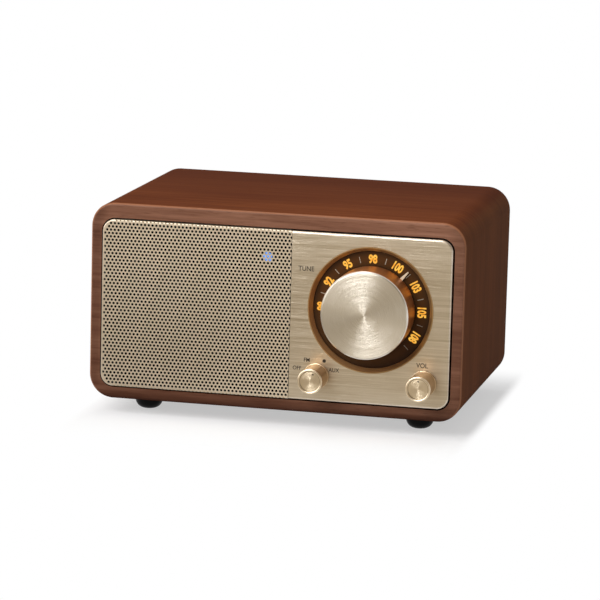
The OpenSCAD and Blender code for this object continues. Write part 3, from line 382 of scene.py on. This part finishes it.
def ringFinish():
    paint = Paint("turnedBronze")
    x, y, z = paint.axes(paint.coords(centre=tuple(dialCentre)))
    radius = (x * x + z * z) ** 0.5
    circles = paint.noise(paint.node("CombineXYZ", {}, {0: radius * ring["circles"]}), 2.0, 0.8)
    tone = paint.blend(circles.ramp(0.3, 0.7) * 0.5, ring["tone"], ring["shade"])
    return paint.finish(paint.shader(
        Base_Color=tone, Metallic=ring["metallic"], Roughness=ring["roughness"] + circles * 0.08,
        Normal=paint.bump(circles, ring["depth"], 0.5)))


def grainyFinish(name, tone, roughness, metallic=0.0, scale=1200.0, depth=0.00004, vary=0.12, coat=0.0,
                 glow=0.0, shine=0.5):
    # the plain finish of most pieces: one tone, a fine grain and a few wide patches
    paint = Paint(name)
    grain = paint.noise(paint.coords(scale=(scale,) * 3), 3.0, 0.6)
    patch = paint.noise(paint.coords(scale=(60, 60, 60)), 2.0, 0.5)
    shade = paint.blend((grain * 0.5 + patch * 0.5).ramp(0.3, 0.7) * vary * 2, tone,
                        tuple(c * 0.55 for c in tone))
    return paint.finish(paint.shader(
        Base_Color=shade, Metallic=metallic, Roughness=roughness + grain * 0.12, Coat_Weight=coat,
        Emission_Color=tone, Emission_Strength=glow, Specular_IOR_Level=shine,
        Normal=paint.bump(grain, depth, 0.5),
    ))


def wovenFinish(name, tone, pitch=0.0005):
    paint = Paint(name)
    x, y, z = paint.axes(paint.coords(scale=(2 * math.pi / pitch,) * 3))
    weave = x.maths("SINE") * z.maths("SINE")
    fuzz = paint.noise(paint.coords(scale=(2500,) * 3), 2.0, 0.6)
    shade = paint.blend(weave.ramp(-0.6, 0.8), tuple(c * 0.4 for c in tone), tone)
    return paint.finish(paint.shader(
        Base_Color=shade, Roughness=0.92, Specular_IOR_Level=0.1,
        Normal=paint.bump(weave * 0.7 + fuzz * 0.3, 0.0001, 0.6)))


def glowFinish(name, tone, strength, body):
    paint = Paint(name)
    return paint.finish(paint.shader(
        Base_Color=body, Roughness=0.35, Emission_Color=tone, Emission_Strength=strength))


dialPlastic = {
    "dark": colour(54, 35, 17), "warm": colour(96, 60, 28), "roughness": 0.34, "shine": 0.12,
    "warmWide": 0.004, "speckSize": 1500, "speckDepth": 0.000004,
}


def dialFinish():
    paint = Paint("dialPlastic")
    x, y, z = paint.axes(paint.coords(centre=tuple(dialCentre)))
    radius = (x * x + z * z) ** 0.5
    # the plate is warmer where the lamps behind it light the figures
    warmth = 1.0 - abs(radius - figuresAt * mm).ramp(0.0, dialPlastic["warmWide"])
    speck = paint.noise(paint.coords(scale=(dialPlastic["speckSize"],) * 3), 2.0, 0.5)
    tone = paint.blend(warmth * 0.5, dialPlastic["dark"], dialPlastic["warm"])
    return paint.finish(paint.shader(
        Base_Color=tone, Roughness=dialPlastic["roughness"] + speck * 0.06,
        Specular_IOR_Level=dialPlastic["shine"],
        Normal=paint.bump(speck, dialPlastic["speckDepth"], 0.2)))


finishes = {
    "cabinet": woodFinish(),
    "speaker_grille": sheetFinish(),
    "control_panel": brushedFinish(),
    "dial_bezel": ringFinish(),
    "dial_plate": dialFinish(),
    "tuning_knob": turnedFinish("spunFace", spunMetal["bigFace"], spunMetal["bigSideReflection"], dialCentre),
    "selector_knob": turnedFinish("spunSelector", spunMetal["smallFace"], spunMetal["smallSideReflection"],
                                  middle("selector_knob"), spunMetal["shadedDish"]),
    "volume_knob": turnedFinish("spunVolume", spunMetal["smallFace"], spunMetal["smallSideReflection"],
                                middle("volume_knob"), spunMetal["shadedDish"]),
    # the pointer's faint glow is painted light, standing in for the dial lamps that light it
    "tuning_pointer": grainyFinish("pointerMetalPaintedGlow", colour(232, 214, 186), 0.35, 0.3, vary=0.05, glow=0.12),
    "grille_cloth": wovenFinish("blackCloth", colour(10, 8, 7)),
    "status_light_pipe": glowFinish("statusGlow", colour(92, 160, 248), 1.05, colour(60, 84, 150)),
    "dial_light_guide": glowFinish("amberGuide", colour(255, 180, 80), 0.8, colour(240, 200, 120)),
    "dial_leds": glowFinish("warmLamps", colour(255, 190, 100), 1.5, colour(250, 220, 150)),
}
slotFinish = {
    "raw_wood": grainyFinish("sawnWood", colour(190, 160, 120), 0.75, scale=700.0, depth=0.0001),
    "foot_rubber": grainyFinish("footRubber", colour(13, 13, 13), 0.32, scale=900.0, depth=0.00003, shine=0.10),
    "plated_steel": grainyFinish("platedSteel", colour(190, 190, 192), 0.28, 1.0, vary=0.05),
    "chassis_plastic": grainyFinish("chassisPlastic", colour(26, 25, 25), 0.55),
    "board_green": grainyFinish("boardGreen", colour(28, 92, 60), 0.38, scale=500.0, coat=0.2),
    "hub_plastic": grainyFinish("hubPlastic", colour(30, 29, 28), 0.5),
    "control_metal": grainyFinish("controlMetal", colour(176, 178, 180), 0.32, 0.9, vary=0.06),
    "switch_plastic": grainyFinish("switchPlastic", colour(38, 52, 84), 0.45),
    "basket_paint": grainyFinish("basketPaint", colour(30, 30, 32), 0.35, scale=1800.0),
    "foam": grainyFinish("foam", colour(34, 33, 32), 0.9, scale=2600.0, depth=0.0002),
    "cone_paper": grainyFinish("conePaper", colour(40, 39, 40), 0.85, scale=1600.0, depth=0.0001),
    "surround_rubber": grainyFinish("surroundRubber", colour(24, 24, 24), 0.6),
    "spider_cloth": wovenFinish("spiderCloth", colour(200, 172, 96), 0.0008),
    "copper": grainyFinish("copper", colour(196, 130, 86), 0.3, 1.0, vary=0.06),
    "ferrite": grainyFinish("ferrite", colour(58, 58, 60), 0.6, 0.2, scale=1500.0),
    "yoke_steel": grainyFinish("yokeSteel", colour(170, 170, 172), 0.35, 1.0, vary=0.06),
    "lamp_board": grainyFinish("lampBoard", colour(232, 232, 226), 0.5, vary=0.04),
    "brass": grainyFinish("brass", colour(206, 176, 106), 0.3, 1.0, vary=0.05),
    "tinplate": grainyFinish("tinplate", colour(196, 196, 198), 0.3, 1.0, vary=0.06),
    "capacitor_sleeve": grainyFinish("capacitorSleeve", colour(34, 40, 66), 0.3, coat=0.3),
    "jack_plastic": grainyFinish("jackPlastic", colour(24, 24, 24), 0.4),
    "battery_sleeve": grainyFinish("batterySleeve", colour(46, 92, 160), 0.25, vary=0.06, coat=0.4),
    "cradle_plastic": grainyFinish("cradlePlastic", colour(34, 34, 34), 0.55),
    "cover_plastic": grainyFinish("coverPlastic", colour(30, 29, 29), 0.55, scale=1500.0, depth=0.00006),
    "black_screws": grainyFinish("blackScrews", colour(36, 36, 38), 0.35, 0.8, vary=0.06),
    "ribbon": grainyFinish("ribbon", colour(202, 202, 198), 0.5, vary=0.05),
}
slotOf = {part["node"]: part["material_slot"] for part in frame["record"]["subparts"]}
print("finishes made:", len(finishes) + len(slotFinish))


# angles in degrees, distances in metres
shading = {"crisp": 30, "crease": 35, "softenedFrom": 28, "weld": 0.000001, "merge": 0.0000005}


def dress(name):
    # curved faces are shaded smooth, and edges sharper than the crisp angle stay so
    piece = nodes[name]
    piece.data.materials.clear()
    piece.data.materials.append(finishes.get(name) or slotFinish[slotOf[name]])
    piece.data.polygons.foreach_set("use_smooth", [True] * len(piece.data.polygons))
    weld = piece.modifiers.new("weld", "WELD")
    weld.merge_threshold = shading["weld"]
    split = piece.modifiers.new("crisp", "EDGE_SPLIT")
    split.split_angle = math.radians(shading["crisp"])


for name in nodes:
    dress(name)
print("frame dressed")


def place(mesh, name, body, finish, replaced=()):
    # a finished piece's object stands at the origin, with its place in its mesh
    bmesh.ops.remove_doubles(mesh, verts=mesh.verts, dist=shading["merge"])
    bmesh.ops.recalc_face_normals(mesh, faces=mesh.faces)
    data = bpy.data.meshes.new(name)
    mesh.to_mesh(data)
    mesh.free()
    data.polygons.foreach_set("use_smooth", [True] * len(data.polygons))
    data.set_sharp_from_angle(angle=math.radians(shading["crease"]))
    data.materials.append(finish)
    piece = bpy.data.objects.new(name, data)
    scene.collection.objects.link(piece)
    weighted = piece.modifiers.new("weighted", "WEIGHTED_NORMAL")
    weighted.keep_sharp = True
    weighted.weight = 100
    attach(piece, body)
    if replaced:
        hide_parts(*replaced)


def turn(outline, centre, steps, softened):
    # outline: radius and distance in front of the wood, in millimetres, all round the section
    mesh = bmesh.new()
    points = [mesh.verts.new((radius * mm, frontY - out * mm, 0)) for radius, out in outline]
    for first, second in zip(points, points[1:] + points[:1]):
        if first.co.x > 0 or second.co.x > 0:
            mesh.edges.new((first, second))
    bmesh.ops.spin(
        mesh, geom=mesh.verts[:] + mesh.edges[:], cent=(0, 0, 0), axis=(0, 1, 0),
        dvec=(0, 0, 0), angle=2 * math.pi, steps=steps, use_merge=True, use_duplicate=False)
    bmesh.ops.remove_doubles(mesh, verts=mesh.verts, dist=shading["merge"])
    bmesh.ops.recalc_face_normals(mesh, faces=mesh.faces)
    sharp = math.radians(shading["softenedFrom"])
    corners = [e for e in mesh.edges if len(e.link_faces) == 2 and e.calc_face_angle() > sharp]
    bmesh.ops.bevel(
        mesh, geom=corners, offset=softened * mm, offset_type="OFFSET", affect="EDGES",
        segments=2, profile=0.5, material=-1, clamp_overlap=True)
    bmesh.ops.translate(mesh, verts=mesh.verts, vec=(centre.x, 0, centre.z))
    return mesh


# the big knob's cap is a little wider and stands further out than the plain knob that it replaces
bigKnob = {"wider": 0.2, "further": 1.0, "chamfer": 0.6, "wall": 1.2, "top": 2.2, "softened": 0.12}


def makeBigKnob():
    k = bigKnob
    low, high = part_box("tuning_knob")
    r = (high.x - low.x) / 2 / mm + k["wider"]
    front, back = (frontY - low.y) / mm + k["further"], (frontY - high.y) / mm
    mesh = turn([
        (0, front), (r - k["chamfer"], front), (r, front - k["chamfer"]), (r, back), (r - k["wall"], back),
        (r - k["wall"], front - k["top"]), (0, front - k["top"]),
    ], dialCentre, steps=160, softened=k["softened"])
    place(mesh, "tuning_cap", "tuning", finishes["tuning_knob"], replaced=["tuning_knob"])


makeBigKnob()

smallKnob = {
    "radius": 5.0, "front": 13.0, "collar": 0.15, "collarTall": 0.9, "groove": 0.35,
    "grooveDeep": 0.25, "rim": 0.95, "rimFoot": 0.04, "recess": 0.55, "hub": 1.5, "bore": 2.1,
    "dot": 0.32, "dotAt": 3.0, "dotThick": 0.03, "dotSunk": 0.01, "softened": 0.05,
}
# how far each cap's mark leans clockwise from upright, in degrees
smallMarks = {"selector": 22.5, "volume": 0.0}
markPaint = grainyFinish("markPaint", colour(70, 58, 44), 0.5, vary=0.05)


def disc(radius, thick):
    # a thin round spot about the origin, in millimetres
    mesh = bmesh.new()
    bmesh.ops.create_circle(mesh, cap_ends=True, radius=radius * mm, segments=24)
    top = bmesh.ops.extrude_face_region(mesh, geom=mesh.faces[:])["geom"]
    bmesh.ops.translate(mesh, verts=[v for v in top if isinstance(v, bmesh.types.BMVert)],
                        vec=(0, 0, thick * mm))
    return mesh


def makeSmallKnob(body):
    k = smallKnob
    r, front = k["radius"], k["front"]
    back = (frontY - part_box(body + "_knob")[1].y) / mm
    centre = middle(body + "_shaft")
    step = back + k["collarTall"]
    neck = r - k["grooveDeep"]
    face = front - k["recess"]
    # the rim round the recessed face is rounded over, so it catches the light all round
    half = k["rim"] / 2
    rounded = [(r - half - half * math.cos(math.radians(a)), front - half + half * math.sin(math.radians(a)))
               for a in (10, 35, 60, 85, 110, 135, 160, 180)]
    mesh = turn([
        (0, face), (r - k["rim"] - k["rimFoot"], face), *rounded, (r, step + k["groove"]),
        (neck, step + k["groove"]), (neck, step), (r + k["collar"], step), (r + k["collar"], back),
        (k["bore"], back), (k["bore"], face - k["hub"]), (0, face - k["hub"]),
    ], centre, steps=96, softened=k["softened"])
    place(mesh, body + "_cap", body, finishes[body + "_knob"], replaced=[body + "_knob"])
    mark = disc(k["dot"], k["dotThick"])
    lean = math.radians(smallMarks[body])
    spot = Vector((centre.x + k["dotAt"] * mm * math.sin(lean), frontY - (face - k["dotSunk"]) * mm,
                   centre.z + k["dotAt"] * mm * math.cos(lean)))
    bmesh.ops.transform(mark, verts=mark.verts,
                        matrix=Matrix.Translation(spot) @ Matrix.Rotation(math.radians(90), 4, "X"))
    place(mark, body + "_mark", body, markPaint)


for body in smallMarks:
    makeSmallKnob(body)
print("knobs turned")


# sizes in millimetres; a number of three figures is drawn narrower than one of two
letterStyle = {
    "numbersTall": 3.6, "numbersNarrow": {2: 0.76, 3: 0.68}, "numbersBold": 0.043,
    "labelsTall": 1.9, "labelsNarrow": 0.92, "labelsBold": 0.010, "smallLabels": 0.82,
    "thick": 0.02, "ahead": 0.01,
}


def letters(words, tall, narrow, bold):
    # one line of lettering, lying flat about the origin, as tall as asked
    curve = bpy.data.curves.new("letters", "FONT")
    curve.body = words
    curve.align_x, curve.align_y = "CENTER", "CENTER"
    curve.offset = bold
    curve.extrude = 0.5
    curve.resolution_u = 4
    drawn = bpy.data.objects.new("letters", curve)
    scene.collection.objects.link(drawn)
    bpy.context.view_layer.update()
    data = bpy.data.meshes.new_from_object(drawn.evaluated_get(bpy.context.evaluated_depsgraph_get()))
    bpy.data.objects.remove(drawn)
    mesh = bmesh.new()
    mesh.from_mesh(data)
    bpy.data.meshes.remove(data)
    xs = [v.co.x for v in mesh.verts]
    ys = [v.co.y for v in mesh.verts]
    size = tall * mm / (max(ys) - min(ys))
    bmesh.ops.translate(mesh, verts=mesh.verts, vec=(-(max(xs) + min(xs)) / 2, -(max(ys) + min(ys)) / 2, 0))
    bmesh.ops.scale(mesh, verts=mesh.verts, vec=(size * narrow, size, letterStyle["thick"] * mm))
    return mesh


def stamp(whole, part, at, lean):
    # stands the flat part up to face forwards, leant clockwise, and adds it to the whole
    where = (Matrix.Translation(at) @ Matrix.Rotation(math.radians(90), 4, "X")
             @ Matrix.Rotation(-math.radians(lean), 4, "Z"))
    bmesh.ops.transform(part, verts=part.verts, matrix=where)
    data = bpy.data.meshes.new("part")
    part.to_mesh(data)
    part.free()
    whole.from_mesh(data)
    bpy.data.meshes.remove(data)


def onDial(lean):
    # a place on the ring of figures, leant clockwise from the top
    lean = math.radians(lean)
    return Vector((dialCentre.x + figuresAt * mm * math.sin(lean), plateFront - letterStyle["ahead"] * mm,
                   dialCentre.z + figuresAt * mm * math.cos(lean)))


# each figure's lean round the dial, in degrees
dialNumbers = {"88": -90, "92": -60, "95": -30, "98": 0, "100": 30, "103": 60, "105": 90, "108": 120}
numbers = bmesh.new()
for words, lean in dialNumbers.items():
    part = letters(words, letterStyle["numbersTall"], letterStyle["numbersNarrow"][len(words)],
                   letterStyle["numbersBold"])
    stamp(numbers, part, onDial(lean), lean)


numberLight = {
    "deep": colour(238, 158, 42), "bright": colour(254, 198, 80), "body": colour(120, 80, 30),
    "strength": 0.95, "roughness": 0.35, "unevenSize": 600,
}


def numberFinish():
    paint = Paint("litNumbers")
    uneven = paint.noise(paint.coords(scale=(numberLight["unevenSize"],) * 3), 2.0, 0.5)
    glow = paint.blend(uneven.ramp(0.3, 0.7), numberLight["deep"], numberLight["bright"])
    return paint.finish(paint.shader(
        Base_Color=numberLight["body"], Roughness=numberLight["roughness"],
        Emission_Color=glow, Emission_Strength=numberLight["strength"]))


place(numbers, "dial_numbers", "cabinet_body", numberFinish())

tick = {"wide": 0.26, "long": 2.4, "thick": 0.02, "leans": (-75, -45, -15, 15, 45, 75, 105, 135)}
ticks = bmesh.new()
for lean in tick["leans"]:
    line = bmesh.new()
    bmesh.ops.create_cube(line, size=1.0)
    bmesh.ops.scale(line, verts=line.verts, vec=(tick["wide"] * mm, tick["long"] * mm, tick["thick"] * mm))
    stamp(ticks, line, onDial(lean), lean)
place(ticks, "dial_ticks", "cabinet_body",
      grainyFinish("tickPaint", colour(176, 166, 148), 0.5, vary=0.05))

# words and places, in millimetres to the right of and above the cabinet's middle
labels = {
    "TUNE": (12.4, 18.2), "OFF": (9.7, -21.3), "FM": (13.55, -17.9), "AUX": (24.45, -21.3),
    "VOL": (59.4, -17.0),
}
printedDot = {"at": (20.5, -17.9), "radius": 0.70, "thick": 0.02}


def onPanel(right, up, ahead=0.0):
    # a place on the panel's face, and how far in front of it
    return Vector((right * mm, panelFront - ahead * mm, cabinetCentre.z + up * mm))


printed = bmesh.new()
for words, (right, up) in labels.items():
    tall = letterStyle["labelsTall"] * (1.0 if words in ("TUNE", "VOL") else letterStyle["smallLabels"])
    part = letters(words, tall, letterStyle["labelsNarrow"], letterStyle["labelsBold"])
    stamp(printed, part, onPanel(right, up, letterStyle["ahead"]), 0)
stamp(printed, disc(printedDot["radius"], printedDot["thick"]), onPanel(*printedDot["at"]), 0)
place(printed, "panel_lettering", "cabinet_body",
      grainyFinish("labelInk", colour(30, 24, 18), 0.55, vary=0.08))
print("lettering stamped")


# the studio: floor, light and camera
studio = {
    "floorGrey": colour(196, 196, 196), "floorLift": 0.50, "floorSize": 12.0,
    "shadowFades": 0.045, "sideFade": 8.0, "ambient": 0.26,
    "white": (1.0, 1.0, 1.0), "frontRoom": (0.48, 0.405, 0.295), "darkCorner": (0.16, 0.11, 0.05),
    # on the floor, where the room's reflection sets in ahead and ends at the right, and its dark patch
    "roomStarts": (0.04, 0.09), "roomEnds": (0.12, 0.30),
    "patchLeft": (0.0, 0.05), "patchStarts": (0.05, 0.08), "patchEnds": (0.20, 0.28),
    # the same in the world, by direction
    "roomAhead": (-0.1, 0.5),
    "cornerAhead": (0.0, 0.4), "cornerRight": (-0.05, 0.20), "cornerHigh": (0.0, 0.18),
}
lamps = {
    "softbox": {"at": (-0.55, -1.15, 0.95), "size": (1.10, 0.85), "power": 18.0},
    "sideLight": {"at": (-1.25, -0.75, 0.40), "size": (0.80, 0.70), "power": 4.0},
    "topLight": {"at": (-0.20, 0.0, 1.25), "size": (0.9, 0.35), "power": 2.2},
}
lampsAim = Vector((0, 0, 0.04))


def floorFinish():
    paint = Paint("whiteFloor")
    seen = paint.node("LightPath", output="Is Camera Ray")
    glossy = paint.node("LightPath", output="Is Glossy Ray")
    through = paint.node("LightPath", output="Is Transmission Ray")
    x, y, z = paint.axes(paint.coords())
    # the shadow fades to plain white with distance from the cabinet, and sooner at its sides
    besideX = (abs(x) - cabinetHigh.x).maths("MAXIMUM", 0.0)
    besideY = (abs(y - cabinetCentre.y) - (cabinetHigh.y - cabinetLow.y) / 2).maths("MAXIMUM", 0.0)
    beside = ((besideX * studio["sideFade"]) ** 2.0 + besideY ** 2.0) ** 0.5
    away = beside.ramp(0.0, studio["shadowFades"])
    matt = paint.node("BsdfDiffuse", {}, {"Color": studio["floorGrey"]})
    lift = paint.node("Emission", {}, {"Color": studio["white"], "Strength": studio["floorLift"]})
    near = paint.node("AddShader", {}, {0: matt, 1: lift})
    seenFloor = paint.mix(away, near, paint.plainLight(studio["white"]))
    # polished metal sees the unlit room in front of the table, and white behind
    ahead = y * -1.0
    room = ahead.ramp(*studio["roomStarts"]) * (1.0 - x.ramp(*studio["roomEnds"])) * glossy
    seenFloor = paint.mix(room, seenFloor, paint.plainLight(studio["frontRoom"]))
    # a dark patch of floor ahead and to the left gives the turned faces their darker wedge
    patch = (x * -1.0).ramp(*studio["patchLeft"]) * ahead.ramp(*studio["patchStarts"])
    patch = patch * (1.0 - ahead.ramp(*studio["patchEnds"])) * glossy
    seenFloor = paint.mix(patch, seenFloor, paint.plainLight(studio["darkCorner"]))
    watched = seen.maths("MAXIMUM", glossy).maths("MAXIMUM", through)
    return paint.finish(paint.mix(watched, matt, seenFloor))


floorMesh = bmesh.new()
bmesh.ops.create_grid(floorMesh, x_segments=1, y_segments=1, size=studio["floorSize"])
floorData = bpy.data.meshes.new("studio_floor")
floorMesh.to_mesh(floorData)
floorMesh.free()
floorData.materials.append(floorFinish())
floor = bpy.data.objects.new("studio_floor", floorData)
scene.collection.objects.link(floor)


for name, told in lamps.items():
    light = bpy.data.lights.new(name, "AREA")
    light.shape = "RECTANGLE"
    light.size, light.size_y = told["size"]
    light.energy = told["power"]
    hung = bpy.data.objects.new(name, light)
    hung.location = told["at"]
    hung.rotation_euler = (lampsAim - Vector(told["at"])).to_track_quat("-Z", "Y").to_euler()
    scene.collection.objects.link(hung)


def roomFinish():
    paint = Paint("studio", bpy.data.worlds)
    seen = paint.node("LightPath", output="Is Camera Ray")
    through = paint.node("LightPath", output="Is Transmission Ray")
    glossy = paint.node("LightPath", output="Is Glossy Ray")
    x, y, z = paint.axes(paint.node("TexCoord", output="Generated"))
    ahead = y * -1.0
    ambient = paint.node("Background", {}, {"Color": studio["white"], "Strength": studio["ambient"]})
    white = paint.plainLight(studio["white"], "Background")
    # reflections find white behind the radio, a dim warm room ahead and a dark corner high on the right
    frontRoom = paint.plainLight(studio["frontRoom"], "Background")
    mirrored = paint.mix(ahead.ramp(*studio["roomAhead"]), white, frontRoom)
    high = ahead.ramp(*studio["cornerAhead"]) * x.ramp(*studio["cornerRight"]) * z.ramp(*studio["cornerHigh"])
    mirrored = paint.mix(high, mirrored, paint.plainLight(studio["darkCorner"], "Background"))
    lit = paint.mix(glossy, ambient, mirrored)
    return paint.finish(paint.mix(seen.maths("MAXIMUM", through), lit, white), "World")


scene.world = roomFinish()

# where the camera stands round the target, where it looks, and its lens
view = {
    "azimuth": 12.686, "elevation": 10.315, "distance": 1.3871, "target": (0, 0.0065, 0.0461),
    "yaw": 12.749, "pitch": 10.484, "roll": 1.511, "lens": 205.5, "sensor": 36,
}
azimuth, elevation = math.radians(view["azimuth"]), math.radians(view["elevation"])
yaw, pitch, roll = (math.radians(view[key]) for key in ("yaw", "pitch", "roll"))
cameraData = bpy.data.cameras.new("camera")
cameraData.lens = view["lens"]
cameraData.sensor_width = view["sensor"]
cameraData.clip_start = 0.01
camera = bpy.data.objects.new("camera", cameraData)
scene.collection.objects.link(camera)
ahead = Vector((-math.sin(yaw) * math.cos(pitch), math.cos(yaw) * math.cos(pitch), -math.sin(pitch)))
level = Vector((math.cos(yaw), math.sin(yaw), 0))
upright = level.cross(ahead)
side = level * math.cos(roll) + upright * math.sin(roll)
crown = upright * math.cos(roll) - level * math.sin(roll)
spot = Vector(view["target"]) + view["distance"] * Vector((
    math.sin(azimuth) * math.cos(elevation), -math.cos(azimuth) * math.cos(elevation), math.sin(elevation)))
camera.matrix_world = Matrix((
    (side.x, crown.x, -ahead.x, spot.x), (side.y, crown.y, -ahead.y, spot.y),
    (side.z, crown.z, -ahead.z, spot.z), (0, 0, 0, 1)))
scene.camera = camera
scene.view_settings.view_transform = "Standard"
print("studio set")
